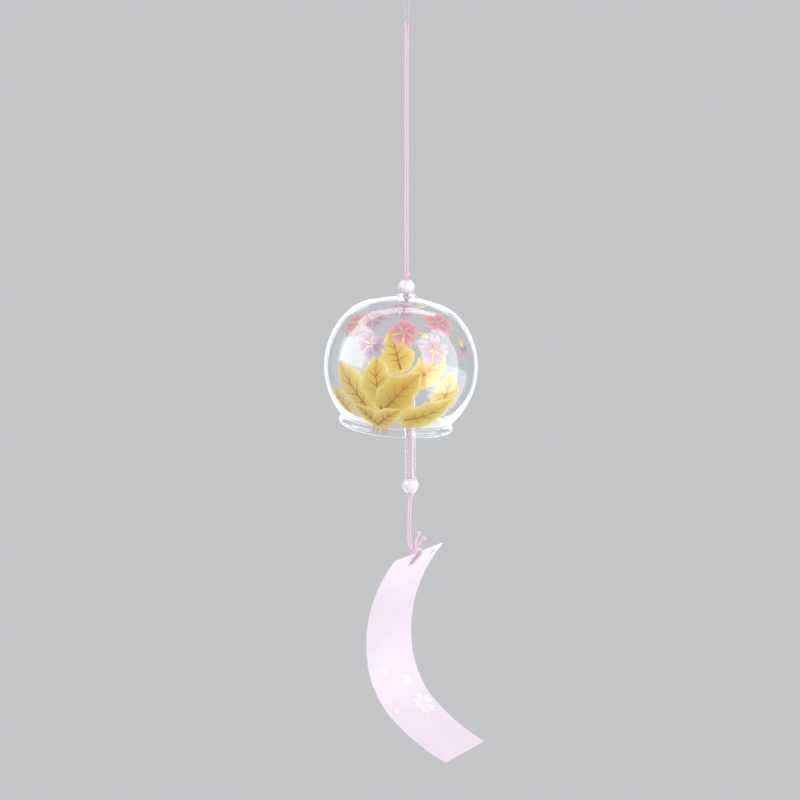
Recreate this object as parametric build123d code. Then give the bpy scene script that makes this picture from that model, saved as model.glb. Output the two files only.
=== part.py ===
from build123d import *
import math
import os

# A glass wind bell on one long cord.
# The cord is folded over a thin hanging line and knotted, and threaded through a bead and the
# bell's top hole. A thick knot inside the bell carries it. Below, the cord is threaded through
# the glass tube that strikes the bell and a second bead, is knotted again, and is tied through a
# hole in a curled paper strip that catches the wind.
# Millimetres, +Z up. The origin is the point where a hook carries the hanging line.

# Hanging line
line_diameter = 0.5
line_drop = 16.85
line_hook_width = 3.5
line_turn = 45.0
line_knot_diameter = 1.4
line_knot_length = 2.0
line_knot_drop = 2.9

# Cord
cord_diameter = 1.1
strand_spacing = 1.2
loop_gap = 0.15
cord_length_above_knot = 131.2
eye_length = 1.9
eye_taper = 5.0
knot_overlap = 0.4
body_gap = 0.3

# Knots, each as width and height
top_knot_width = 4.0
top_knot_height = 4.2
inner_knot_width = 5.0
inner_knot_height = 4.4
lower_knot_width = 3.6
lower_knot_height = 3.0
paper_knot_width = 3.4
paper_knot_height = 3.8
top_knot_to_bead = 6.2
lower_bead_to_knot = 5.2

# Beads
bead_diameter = 8.5
bead_hole = 2.8
bead_edge = 0.25

# Glass bell
bell_diameter = 80.0
bell_wall = 1.4
bell_tilt = 4.9
shoulder_start = 35.0
shoulder_end = 68.0
shoulder_radius = 28.0
neck_angle = -42.8
flare_radius = 2.2
flare_end = 225.0
lip_diameter = 1.9
ring_hole = 3.8
ring_thickness = 3.6
ring_rise = 0.4
ring_melt = 0.9
lip_melt = 0.6
bead_above_ring = 5.65

# Glass tube that strikes the bell
tube_diameter = 5.5
tube_bore = 3.5
tube_length = 50.0
tube_edge = 0.35
tube_end_drop = 93.6
tube_offset = 1.5
tube_lean = 0.4
strand_bend_drop = 7.4
strand_shift = -0.75

# Tail cord, from the lower knot down to the paper's knot
tail_shift = 2.62
tail_drop = 29.8
tail_route = [
    (-0.25, 0.0, -1.95),
    (-0.75, 0.0, -7.2),
    (-0.85, 0.0, -20.4),
    (-0.4, 0.0, -24.8),
    (1.32, 0.0, -28.9),
]

# Paper strip
strip_width = 38.0
strip_length = 141.5
strip_thickness = 0.35
strip_heading = 50.9
strip_skew = -5.6
curl_start = -43.2
curl_radii = (106.5, 73.2, 41.9, 103.4)
strip_stations = 12
strip_hole = 3.0
strip_hole_drop = 10.8
spare_hole_drop = 6.5
spare_hole_across = 14.7
knot_across = -3.1
knot_above_edge = 1.9
knot_behind = 1.4

# Loop through the paper, as places across, down and in front of the strip
loop_behind = [(-2.3, 0.4, -1.1), (-1.0, 5.0, -1.0)]
loop_in_front = [(0.75, 4.6, 1.0), (1.3, -0.1, 0.95), (-0.2, -1.9, -0.55)]
loop_stand_off = 0.95
hole_gap = 0.1

# Free ends of the cord, from the paper's knot outwards
end_tip_diameter = 2.1
end_routes = [
    [(-0.05, -0.75, 1.5), (0.2, -0.7, 4.6), (1.65, -0.6, 8.6)],
    [(0.95, -0.1, 1.2), (2.4, -0.8, 3.9), (4.3, -1.2, 5.6)],
]

# Shares that shape the bends
arc_share = 0.45
line_bend_share = 0.9

# Sizes that follow from the ones above
half_spacing = strand_spacing / 2
cord_radius = cord_diameter / 2
line_radius = line_diameter / 2
bead_radius = bead_diameter / 2
fold_radius = cord_radius + loop_gap + line_radius
fold_height = -line_drop + loop_gap + cord_radius
top_knot_z = fold_height + cord_radius - cord_length_above_knot
top_bead_z = top_knot_z - top_knot_to_bead
ring_z = top_bead_z - bead_above_ring
ring_radius = ring_hole / 2 + ring_thickness / 2
knot_to_ring = inner_knot_width / 2 + body_gap + ring_thickness / 2
pivot_below_ring = math.sqrt(knot_to_ring**2 - ring_radius**2)
pivot_z = ring_z - pivot_below_ring
bead_seat = math.sqrt(bead_radius**2 - (tube_bore / 2) ** 2)
lower_bead_drop = tube_end_drop + bead_seat
lower_knot_drop = lower_bead_drop + lower_bead_to_knot

pivot = Location((0, 0, pivot_z))
clapper_frame = pivot * Location((tube_offset, 0, 0), (0, -tube_lean, 0))
bell_frame = pivot * Location((0, 0, 0), (0, bell_tilt, 0))
lower_knot_place = (clapper_frame * Pos(0, 0, -lower_knot_drop)).position
paper_knot_place = lower_knot_place + Vector(tail_shift, 0, -tail_drop)


def route_radii(points):
    """The largest arc that each corner of a route has room for."""
    radii = []
    for before, corner, after in zip(points, points[1:], points[2:]):
        run_in = Vector(*corner) - Vector(*before)
        run_out = Vector(*after) - Vector(*corner)
        turn = math.radians(run_in.get_angle(run_out))
        shorter = min(run_in.length, run_out.length)
        radii.append(arc_share * shorter / math.tan(turn / 2))
    return radii


def tube_along(points, diameter, name):
    """A round cord along a route of straight runs joined by tangent arcs."""
    if len(points) > 2:
        radii = route_radii(points)
        path = FilletPolyline(*points, radius=radii)
        print(name, "radii", [round(r, 2) for r in radii])
    else:
        path = Line(*points)
    section = Plane(origin=path @ 0, z_dir=path % 0) * Circle(diameter / 2)
    tube = sweep(section, path=path)
    expected = math.pi * diameter**2 / 4 * path.length
    print(name, "length", round(path.length, 2), "volume share", round(tube.volume / expected, 4))
    return tube


def shifted(points, offset):
    """The same route moved sideways."""
    return [tuple(Vector(*p) + Vector(*offset)) for p in points]


def two_strands(points, side, name):
    """Two strands of cord lying side by side along one route."""
    offset = Vector(*side).normalized() * half_spacing
    return [
        tube_along(shifted(points, offset), cord_diameter, name),
        tube_along(shifted(points, -offset), cord_diameter, name),
    ]


def knot(width, height):
    """The outer shape of a knot pulled tight: an egg standing on end."""
    return scale(Sphere(width / 2), by=(1, 1, height / width))


def bead():
    """A round bead with a hole through it along Z, its edges worn round."""
    body = Sphere(bead_radius) - Cylinder(bead_hole / 2, bead_diameter)
    edges = body.edges().filter_by(GeomType.CIRCLE)
    return fillet(edges, bead_edge)


def hanging_line():
    """A closed loop of thin line, wide at the hook and narrow round the cord's fold."""
    top_half = line_hook_width / 2 + line_radius
    top, bottom = line_radius, -line_drop - line_radius
    corners = [
        (-fold_radius, 0, bottom),
        (fold_radius, 0, bottom),
        (top_half, 0, top),
        (-top_half, 0, top),
    ]
    tight, wide = line_bend_share * fold_radius, line_bend_share * top_half
    path = FilletPolyline(*corners, radius=[tight, tight, wide, wide], close=True)
    section = Plane(origin=path @ 0, z_dir=path % 0) * Circle(line_radius)
    loop = sweep(section, path=path)
    expected = math.pi * line_radius**2 * path.length
    print("hanging_line length", round(path.length, 2), "share", round(loop.volume / expected, 4))
    return Rot(0, 0, -line_turn) * loop


def line_knot():
    """The small knot that closes the hanging line, on one side of its loop."""
    share = line_knot_drop / line_drop
    wide = line_hook_width / 2 + line_radius
    across = wide + (fold_radius - wide) * share
    small_knot = Pos(across, 0, -line_knot_drop) * knot(line_knot_diameter, line_knot_length)
    return Rot(0, 0, -line_turn) * small_knot


def upper_cord():
    """One strand up, over the hanging line in a small eye, and down again."""
    across = fold_radius * math.cos(math.radians(line_turn))
    along = fold_radius * math.sin(math.radians(line_turn))
    start = top_knot_z + top_knot_height / 2 - knot_overlap
    rising = [
        (-half_spacing, 0, start),
        (-half_spacing, 0, fold_height - eye_length - eye_taper),
        (-across, -along, fold_height - eye_length),
        (-across, -along, fold_height),
    ]
    falling = [(-x, -y, z) for x, y, z in reversed(rising)]
    return tube_along(rising + falling, cord_diameter, "upper_cord")


def neck_cord():
    """The two strands from the top knot through the bead and the bell's hole to the inner knot."""
    start = top_knot_z - top_knot_height / 2 + knot_overlap
    end = pivot_z + inner_knot_height / 2 - knot_overlap
    return two_strands([(0, 0, start), (0, 0, end)], (1, 0, 0), "neck_cord")


def skin_arcs(offset):
    """The bell's outline from its top ring to its lip, moved outwards by offset."""
    start, end = math.radians(shoulder_start), math.radians(shoulder_end)
    side_radius = bell_diameter / 2
    shoulder_shift = side_radius - shoulder_radius
    shoulder_centre = Vector(math.cos(start), math.sin(start)) * shoulder_shift
    cap_radius = shoulder_radius + shoulder_centre.X / math.cos(end)
    cap_centre = shoulder_centre - Vector(math.cos(end), math.sin(end)) * (cap_radius - shoulder_radius)
    cap_end = math.degrees(math.acos(ring_radius / (cap_radius + offset)))
    neck = math.radians(neck_angle)
    flare_centre = Vector(math.cos(neck), math.sin(neck)) * (side_radius + flare_radius)
    return [
        CenterArc(flare_centre, flare_radius - offset, flare_end, neck_angle + 180 - flare_end),
        CenterArc((0, 0), side_radius + offset, neck_angle, shoulder_start - neck_angle),
        CenterArc(shoulder_centre, shoulder_radius + offset, shoulder_start, shoulder_end - shoulder_start),
        CenterArc(cap_centre, cap_radius + offset, shoulder_end, cap_end - shoulder_end),
    ]


def glass_bell():
    """The blown bell, with a thick polished ring round its hole and a flared, rounded lip."""
    outer, inner, middle = skin_arcs(0), skin_arcs(-bell_wall), skin_arcs(-bell_wall / 2)
    ends = [Line(outer[0] @ 0, inner[0] @ 0), Line(outer[-1] @ 1, inner[-1] @ 1)]
    wall = make_face(outer + inner + ends)
    ring_centre = middle[-1] @ 1 + Vector(0, ring_rise)
    ring = Pos(ring_centre) * Circle(ring_thickness / 2)
    lip = Pos(middle[0] @ 0) * Circle(lip_diameter / 2)
    outline = wall + ring + lip
    corners = outline.vertices().sort_by(Axis.Y)
    outline = fillet(corners[-2:], ring_melt)
    outline = fillet(outline.vertices().sort_by(Axis.Y)[:2], lip_melt)
    profile = Plane.XZ * outline
    bell = Pos(0, 0, pivot_below_ring - ring_centre.Y) * revolve(profile, Axis.Z)
    print("mouth below pivot", round(bell.bounding_box().min.Z, 2))
    return bell_frame * bell


def clapper_tube():
    """The glass tube, its ends melted round, which stands on the lower bead."""
    tube = Cylinder(tube_diameter / 2, tube_length) - Cylinder(tube_bore / 2, tube_length)
    tube = fillet(tube.edges().filter_by(GeomType.CIRCLE), tube_edge)
    return clapper_frame * Pos(0, 0, tube_length / 2 - tube_end_drop) * tube


def tube_cord():
    """The two strands from the inner knot through the tube and the lower bead."""
    top = -inner_knot_width / 2 - body_gap
    bottom = -lower_knot_drop + lower_knot_height / 2 + body_gap
    points = [(strand_shift, 0, top), (0, 0, -strand_bend_drop), (0, 0, bottom)]
    strands = two_strands(points, (1, 0, 0), "tube_cord")
    return [clapper_frame * strand for strand in strands]


def tail_cord():
    """The two strands that hang from the lower knot and bend over to the paper's knot."""
    points = shifted(tail_route, lower_knot_place)
    return two_strands(points, (1, 0, 0), "tail_cord")


def curl(distance):
    """Sideways place, height and heading of the strip's curl at that distance along it."""
    span = strip_length / len(curl_radii)
    sideways, height, heading, left = 0.0, 0.0, math.radians(curl_start), distance
    for number, radius in enumerate(curl_radii):
        last = number == len(curl_radii) - 1
        run = left if last else min(left, span)
        turned = heading + run / radius
        sideways -= radius * (math.cos(turned) - math.cos(heading))
        height -= radius * (math.sin(turned) - math.sin(heading))
        heading = turned
        left -= run
        if left <= 0:
            break
    return sideways, height, heading


strip_along = math.radians(strip_heading)
ruling = Vector(math.cos(strip_along), math.sin(strip_along), 0)
outward = Vector(math.sin(strip_along), -math.cos(strip_along), 0)
skew = math.radians(strip_skew)


def strip_directions(heading):
    """Across, down and forward directions of the strip where the curl has that heading."""
    down = outward * math.sin(heading) - Vector(0, 0, 1) * math.cos(heading)
    forward = outward * math.cos(heading) + Vector(0, 0, 1) * math.sin(heading)
    across = ruling * math.cos(skew) + down * math.sin(skew)
    along = down * math.cos(skew) - ruling * math.sin(skew)
    return across, along, forward


def strip_local(across, drop, front=0.0):
    """A point of the strip, measured from the middle of its top edge."""
    along_curl = drop * math.cos(skew) + across * math.sin(skew)
    along_ruling = across * math.cos(skew) - drop * math.sin(skew)
    sideways, height, heading = curl(along_curl)
    forward = strip_directions(heading)[2]
    return ruling * along_ruling + outward * sideways + Vector(0, 0, 1) * height + forward * front


strip_top = paper_knot_place - strip_local(knot_across, -knot_above_edge, -knot_behind)


def strip_point(across, drop, front=0.0):
    """A point of the strip in the part's frame."""
    return strip_top + strip_local(across, drop, front)


def strip_plane(across, drop):
    """The plane of the strip's cross-section through that point."""
    heading = curl(drop * math.cos(skew) + across * math.sin(skew))[2]
    side, along, forward = strip_directions(heading)
    return Plane(origin=strip_point(across, drop), x_dir=side, z_dir=along)


def paper_strip():
    """The curled strip, lofted through straight cross-sections that follow the skewed curl."""
    sections = [
        strip_plane(0, strip_length * n / strip_stations) * Rectangle(strip_width, strip_thickness)
        for n in range(strip_stations + 1)
    ]
    strip = loft(sections)
    for across, drop in ((0, strip_hole_drop), (spare_hole_across, spare_hole_drop)):
        section = strip_plane(across, drop)
        face = Plane(origin=section.origin, x_dir=section.x_dir, z_dir=section.y_dir)
        strip -= face * Cylinder(strip_hole / 2, strip_hole)
    flat = strip_width * strip_length - 2 * math.pi * strip_hole**2 / 4
    print("paper_strip volume share", round(strip.volume / (flat * strip_thickness), 4))
    return strip


def paper_loop():
    """The two strands that go behind the strip, through its hole and back over its face."""
    thread_radius = strip_hole / 2 - cord_radius - hole_gap
    thread_drop = strip_hole_drop - math.sqrt(thread_radius**2 - half_spacing**2)
    through = [(0, thread_drop, -loop_stand_off), (0, thread_drop, loop_stand_off)]
    points = [tuple(strip_point(*place)) for place in loop_behind + through + loop_in_front]
    return two_strands(points, ruling, "paper_loop")


def cord_ends():
    """The cord's two cut ends, each melted into a small knob."""
    ends = []
    for route in end_routes:
        points = shifted(route, paper_knot_place)
        stub = tube_along(points, cord_diameter, "cord_ends")
        tip = Pos(points[-1]) * Sphere(end_tip_diameter / 2)
        ends.append(stub + tip)
    return ends


parts = {
    "hanging_line": hanging_line(),
    "line_knot": line_knot(),
    "upper_cord": upper_cord(),
    "top_knot": Pos(0, 0, top_knot_z) * knot(top_knot_width, top_knot_height),
    "neck_cord": neck_cord(),
    "inner_knot": pivot * knot(inner_knot_width, inner_knot_height),
    "top_bead": Pos(0, 0, top_bead_z) * bead(),
    "glass_bell": glass_bell(),
    "clapper_tube": clapper_tube(),
    "tube_cord": tube_cord(),
    "lower_bead": clapper_frame * Pos(0, 0, -lower_bead_drop) * bead(),
    "lower_knot": clapper_frame * Pos(0, 0, -lower_knot_drop) * knot(lower_knot_width, lower_knot_height),
    "tail_cord": tail_cord(),
    "paper_knot": Pos(paper_knot_place) * knot(paper_knot_width, paper_knot_height),
    "cord_ends": cord_ends(),
    "paper_loop": paper_loop(),
    "paper_strip": paper_strip(),
}

print("fold", (0, 0, -line_drop + loop_gap / 2))
print("pivot", (0, 0, round(pivot_z, 3)), "top bead", round(top_bead_z, 3), "top knot", round(top_knot_z, 3))
print("lower knot", lower_knot_place, "paper knot", paper_knot_place, "strip top", strip_top)

os.makedirs("parts", exist_ok=True)
for name, shape in parts.items():
    solids = shape if isinstance(shape, list) else [shape]
    export_step(Compound(children=[s for part in solids for s in part.solids()]), f"parts/{name}.step")
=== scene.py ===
import math

import bpy
from mathutils import Matrix, Vector
from mathutils.geometry import delaunay_2d_cdt


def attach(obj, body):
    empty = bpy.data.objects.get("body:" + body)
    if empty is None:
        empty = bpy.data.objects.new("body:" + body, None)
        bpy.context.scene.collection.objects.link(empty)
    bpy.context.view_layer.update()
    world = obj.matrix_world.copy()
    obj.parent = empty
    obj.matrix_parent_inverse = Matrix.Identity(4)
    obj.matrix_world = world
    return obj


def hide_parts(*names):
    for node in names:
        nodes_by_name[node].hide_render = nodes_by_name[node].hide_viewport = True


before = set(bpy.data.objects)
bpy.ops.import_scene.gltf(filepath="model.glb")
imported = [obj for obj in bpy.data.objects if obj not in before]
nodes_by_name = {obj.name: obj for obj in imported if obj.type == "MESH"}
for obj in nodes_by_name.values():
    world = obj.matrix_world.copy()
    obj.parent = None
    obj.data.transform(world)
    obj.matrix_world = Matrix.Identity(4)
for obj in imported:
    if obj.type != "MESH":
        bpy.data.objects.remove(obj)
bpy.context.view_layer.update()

scene = bpy.context.scene
scene.view_settings.view_transform = "Standard"

# Lengths below are in millimetres unless they end in _m.
MM = 0.001


def smooth_step(low, high, value):
    """From 0 at low to 1 at high, level at both."""
    t = min(1.0, max(0.0, (value - low) / (high - low)))
    return t * t * (3 - 2 * t)


def mix(a, b, t):
    """The value at share t of the way from a to b."""
    return a + (b - a) * t


def link(obj):
    """The object, put into the scene."""
    scene.collection.objects.link(obj)
    return obj


# Camera, far off and a little above the bell

LENS, SENSOR_WIDTH = 137.66, 36.0
CAMERA_PLACE = (-3.347, -1562.1, 133.25)
CAMERA_PITCH = 77.5
NEAR_M, FAR_M = 0.05, 100.0

camera_data = bpy.data.cameras.new("camera")
camera_data.lens = LENS
camera_data.sensor_width = SENSOR_WIDTH
camera_data.clip_start, camera_data.clip_end = NEAR_M, FAR_M
camera = link(bpy.data.objects.new("camera", camera_data))
camera.location = tuple(value * MM for value in CAMERA_PLACE)
camera.rotation_euler = (math.radians(CAMERA_PITCH), 0.0, 0.0)
scene.camera = camera

# Places and angles that the part's source states

PIVOT = Vector((0.0, 0.0, -161.383))
TILT = math.radians(4.9)
LEAN = math.radians(0.4)
CLAPPER_OFFSET = 1.5
LOWER_KNOT = Vector((2.217, 0.0, -264.054))
PAPER_KNOT = Vector((4.837, 0.0, -293.854))
TOP_KNOT = Vector((0.0, 0.0, -146.8))
STRIP_TOP = Vector((6.830, 2.595, -295.977))


def clapper_point(x, y, z):
    """A point of the tube's frame, which leans a little from the pivot."""
    return PIVOT + Vector((
        CLAPPER_OFFSET + x * math.cos(LEAN) - z * math.sin(LEAN),
        y,
        z * math.cos(LEAN) + x * math.sin(LEAN),
    ))


# Cords

CORD = 1.1
HALF_SPACING = 0.6
PLIES = 3
LAY = 3.6
PLY_DEPTH_SHARE = 0.13
CORD_SIDES = 18
PHASE_STEP = 0.9
CURVE_STEPS = 16
BEVEL_STEPS = 6


def nurbs_curve(name, points, diameter=0.0):
    """An open NURBS curve with these points, in millimetres, as its control points."""
    data = bpy.data.curves.new(name, "CURVE")
    data.dimensions = "3D"
    data.resolution_u = CURVE_STEPS
    data.bevel_depth = diameter / 2 * MM
    data.bevel_resolution = BEVEL_STEPS
    data.use_fill_caps = diameter > 0
    spline = data.splines.new("NURBS")
    spline.points.add(len(points) - 1)
    for slot, point in zip(spline.points, points):
        slot.co = (*(Vector(point) * MM), 1.0)
    spline.order_u = 3
    spline.use_endpoint_u = True
    return link(bpy.data.objects.new(name, data))


def nurbs_line(points):
    """The points of the smooth line that a NURBS curve through a route gives, in millimetres."""
    guide = nurbs_curve("guide", points)
    bpy.context.view_layer.update()
    evaluated = guide.evaluated_get(bpy.context.evaluated_depsgraph_get())
    mesh = bpy.data.meshes.new_from_object(evaluated)
    line = [v.co / MM for v in mesh.vertices]
    bpy.data.meshes.remove(mesh)
    bpy.data.objects.remove(guide)
    return line


def even_line(line, step):
    """The same line with its points an even distance apart, and its length."""
    lengths = [0.0]
    for a, b in zip(line, line[1:]):
        lengths.append(lengths[-1] + (b - a).length)
    count = max(4, round(lengths[-1] / step))
    even, k = [], 0
    for n in range(count + 1):
        s = lengths[-1] * n / count
        while k < len(line) - 2 and lengths[k + 1] < s:
            k += 1
        share = (s - lengths[k]) / max(1e-9, lengths[k + 1] - lengths[k])
        even.append(line[k].lerp(line[k + 1], min(1.0, max(0.0, share))))
    return even, lengths[-1]


def tangents(line):
    """The direction of a line at each of its points."""
    found = []
    for n in range(len(line)):
        a, b = line[max(0, n - 1)], line[min(len(line) - 1, n + 1)]
        found.append((b - a).normalized())
    return found


def tube_rings(line, radius_at, around, plies, phase):
    """Rings of a tube round a line, with the plies of a laid cord winding round it."""
    directions = tangents(line)
    side = directions[0].orthogonal().normalized()
    rings, places, s = [], [], 0.0
    for n, (point, direction) in enumerate(zip(line, directions)):
        if n:
            s += (point - line[n - 1]).length
            side = (side - direction * side.dot(direction)).normalized()
        other = direction.cross(side)
        ring = []
        for k in range(around):
            angle = 2 * math.pi * k / around
            wave = math.cos(plies * angle - 2 * math.pi * plies * s / LAY + phase) if plies else 1.0
            depth = PLY_DEPTH_SHARE * (0.5 - 0.5 * wave)
            radius = radius_at(s) * (1 - depth)
            ring.append(point + side * math.cos(angle) * radius + other * math.sin(angle) * radius)
        rings.append(ring)
        places.append(s)
    return rings, places


def mesh_object(name, vertices, faces, uvs, material):
    """A smooth mesh from points in millimetres, with one UV place for each vertex."""
    mesh = bpy.data.meshes.new(name)
    mesh.from_pydata([tuple(v * MM) for v in vertices], [], faces)
    layer = mesh.uv_layers.new(name="UVMap")
    for loop in mesh.loops:
        layer.data[loop.index].uv = uvs[loop.vertex_index]
    mesh.materials.append(material)
    mesh.validate()
    mesh.update()
    mesh.shade_smooth()
    return link(bpy.data.objects.new(name, mesh))


def tube_parts(line, radius_at, around, plies, phase, first):
    """The vertices, faces and UV places of one closed tube."""
    rings, places = tube_rings(line, radius_at, around, plies, phase)
    vertices, uvs, faces = [], [], []
    for ring, s in zip(rings, places):
        for k, point in enumerate(ring):
            vertices.append(point)
            uvs.append((s, k / around))
    for n in range(len(rings) - 1):
        for k in range(around):
            a, b = n * around + k, n * around + (k + 1) % around
            faces.append((first + a, first + b, first + b + around, first + a + around))
    faces.append(tuple(first + k for k in reversed(range(around))))
    last = (len(rings) - 1) * around
    faces.append(tuple(first + last + k for k in range(around)))
    return vertices, faces, uvs


def tube_mesh(name, lines, radius_at, material, around=CORD_SIDES, plies=PLIES, phases=None):
    """One piece made of a tube along each of the lines."""
    vertices, faces, uvs = [], [], []
    for n, line in enumerate(lines):
        phase = phases[n] if phases else PHASE_STEP * n
        v, f, u = tube_parts(line, radius_at, around, plies, phase, len(vertices))
        vertices += v
        faces += f
        uvs += u
    return mesh_object(name, vertices, faces, uvs, material)


# Materials


def linear(r, g, b):
    """A colour written as sRGB bytes, in the renderer's own light values."""
    def one(c):
        c /= 255
        return c / 12.92 if c <= 0.04045 else ((c + 0.055) / 1.055) ** 2.4
    return (one(r), one(g), one(b), 1.0)


class Nodes:
    """A short way to build a node tree."""

    def __init__(self, name):
        self.material = bpy.data.materials.new(name)
        self.material.use_nodes = True
        self.tree = self.material.node_tree
        self.shader = self.tree.nodes["Principled BSDF"]
        self.output = self.tree.nodes["Material Output"]

    def add(self, kind, inputs=None, **settings):
        node = self.tree.nodes.new(kind)
        for key, value in settings.items():
            setattr(node, key, value)
        for key, value in (inputs or {}).items():
            self.put(node.inputs[key], value)
        return node

    def put(self, socket, value):
        if isinstance(value, bpy.types.NodeSocket):
            self.tree.links.new(value, socket)
        else:
            socket.default_value = value

    def math(self, operation, a, b=0.0, c=0.0, clamp=False):
        node = self.add("ShaderNodeMath", {0: a, 1: b, 2: c}, operation=operation, use_clamp=clamp)
        return node.outputs[0]

    def noise(self, vector, scale, detail=3.0, roughness=0.5, distortion=0.0):
        node = self.add("ShaderNodeTexNoise", {
            "Vector": vector, "Scale": scale, "Detail": detail,
            "Roughness": roughness, "Distortion": distortion,
        })
        return node.outputs["Fac"]

    def ramp(self, value, stops):
        node = self.add("ShaderNodeValToRGB", {"Fac": value})
        elements = node.color_ramp.elements
        while len(elements) < len(stops):
            elements.new(0.5)
        for element, (position, colour) in zip(elements, stops):
            element.position = position
            element.color = colour
        return node.outputs["Color"]

    def colour_mix(self, factor, a, b):
        node = self.add("ShaderNodeMix", data_type="RGBA", blend_type="MIX")
        self.put(node.inputs[0], factor)
        self.put(node.inputs[6], a)
        self.put(node.inputs[7], b)
        return node.outputs[2]

    def spread(self, value, low, high):
        node = self.add("ShaderNodeMapRange", {"Value": value, "To Min": low, "To Max": high})
        return node.outputs["Result"]

    def bump(self, height, strength, distance):
        node = self.add("ShaderNodeBump", {
            "Height": height, "Strength": strength, "Distance": distance,
        })
        self.put(self.shader.inputs["Normal"], node.outputs["Normal"])

    def coordinates(self, kind):
        return self.add("ShaderNodeTexCoord").outputs[kind]

    def set(self, **values):
        for key, value in values.items():
            self.put(self.shader.inputs[key.replace("_", " ")], value)


def cord_material():
    """Laid pink cord: three plies, with painted shade darkening the grooves between them, and a
    silky sheen.
    """
    n = Nodes("pink_cord")
    uv = n.add("ShaderNodeSeparateXYZ", {0: n.coordinates("UV")})
    turn = n.math("MULTIPLY", uv.outputs["Y"], 2 * math.pi * PLIES)
    wind = n.math("MULTIPLY", uv.outputs["X"], 2 * math.pi * PLIES / LAY)
    phase = n.math("SUBTRACT", turn, wind)
    crest = n.math("MULTIPLY_ADD", n.math("COSINE", phase), 0.5, 0.5)
    fibres = n.math("MULTIPLY_ADD", n.math("SINE", n.math("MULTIPLY", phase, 5.0)), 0.5, 0.5)
    place = n.coordinates("Object")
    blotch = n.noise(place, 260.0, 4.0, 0.6)
    fuzz = n.noise(place, 5200.0, 2.0, 0.7)
    # Painted shade: the ramp darkens the cord to a deep pink in the grooves between the plies and
    # leaves it pale on their crests.
    ply_painted_shade = n.ramp(crest, [
        (0.0, linear(206, 126, 174)), (0.16, linear(234, 174, 210)),
        (0.45, linear(252, 216, 237)), (1.0, linear(255, 234, 248)),
    ])
    worn = n.colour_mix(n.spread(blotch, 0.0, 0.45), ply_painted_shade, linear(255, 244, 252))
    silk = n.colour_mix(n.math("MULTIPLY", fibres, 0.12), worn, linear(240, 192, 221))
    n.set(Base_Color=silk, Roughness=n.spread(fuzz, 0.42, 0.68))
    n.set(Sheen_Weight=0.35, Sheen_Roughness=0.4, Sheen_Tint=linear(255, 236, 248))
    n.set(Subsurface_Weight=0.15, Subsurface_Scale=0.0006, Subsurface_Radius=(1.0, 0.6, 0.8))
    height = n.math("ADD", n.math("MULTIPLY", fibres, 0.5), n.math("MULTIPLY", fuzz, 0.8))
    n.bump(height, 0.5, 0.00006)
    return n.material


GLASS_TINT = linear(252, 254, 255)
FACE_ON_VEIL = (0.98, 0.98, 0.98, 1.0)
DEEPEST_RAY = 3.0


def glass_material(name, ripple, edge_veil):
    """Clear glass that lets lamplight through, darker where it is seen edge on.

    A ray that has met many faces goes straight on, so that thick rounds of glass stay clear.
    """
    n = Nodes(name)
    place = n.coordinates("Object")
    wavy = n.noise(place, ripple, 2.0, 0.5, 0.4)
    grease = n.noise(place, 90.0, 3.0, 0.6)
    n.set(Base_Color=GLASS_TINT, Transmission_Weight=1.0, IOR=1.5)
    n.set(Roughness=n.spread(grease, 0.0, 0.035), Specular_IOR_Level=0.5)
    n.bump(wavy, 0.35, 0.0005)
    path = n.add("ShaderNodeLightPath")
    deep = n.math("GREATER_THAN", path.outputs["Ray Depth"], DEEPEST_RAY)
    passes = n.math("MAXIMUM", path.outputs["Is Shadow Ray"], path.outputs["Is Diffuse Ray"])
    passes = n.math("MAXIMUM", passes, deep)
    facing = n.add("ShaderNodeLayerWeight", {"Blend": 0.35}).outputs["Facing"]
    veil = n.colour_mix(facing, FACE_ON_VEIL, edge_veil)
    clear = n.add("ShaderNodeBsdfTransparent", {"Color": veil})
    both = n.add("ShaderNodeMixShader", {0: passes, 1: n.shader.outputs[0], 2: clear.outputs[0]})
    n.put(n.output.inputs["Surface"], both.outputs[0])
    return n.material


def bead_material():
    """Frosted white bead with a breath of pink."""
    n = Nodes("frosted_bead")
    place = n.coordinates("Object")
    cloud = n.noise(place, 190.0, 4.0, 0.55)
    frost = n.noise(place, 4200.0, 3.0, 0.7)
    tint = n.ramp(cloud, [(0.3, linear(255, 240, 252)), (0.7, linear(255, 249, 254))])
    n.set(Base_Color=tint, Roughness=n.spread(frost, 0.3, 0.5), Subsurface_Weight=0.6)
    n.set(Subsurface_Scale=0.0025, Subsurface_Radius=(1.0, 0.8, 0.95))
    n.set(Coat_Weight=0.25, Coat_Roughness=0.25)
    n.bump(frost, 0.25, 0.00004)
    return n.material


def nylon_material():
    """Clear nylon line, a little milky."""
    n = Nodes("nylon_line")
    haze = n.noise(n.coordinates("Object"), 700.0, 3.0, 0.5)
    n.set(Base_Color=n.ramp(haze, [(0.3, linear(228, 231, 236)), (0.7, linear(246, 248, 250))]))
    n.set(Transmission_Weight=0.75, IOR=1.53, Roughness=n.spread(haze, 0.12, 0.3))
    n.bump(haze, 0.2, 0.00003)
    return n.material


PRINT_SPECK = 2600.0


def printed(n, colour, speck, smoothest=0.3, coat=1.0):
    """The finish of a fired print: satin with a fine grain, under a clear coat."""
    n.set(Base_Color=colour, Roughness=n.spread(speck, smoothest, 0.5))
    n.set(Coat_Weight=coat, Coat_Roughness=0.06)
    n.bump(speck, 0.12, 0.00002)
    return n.material


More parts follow.
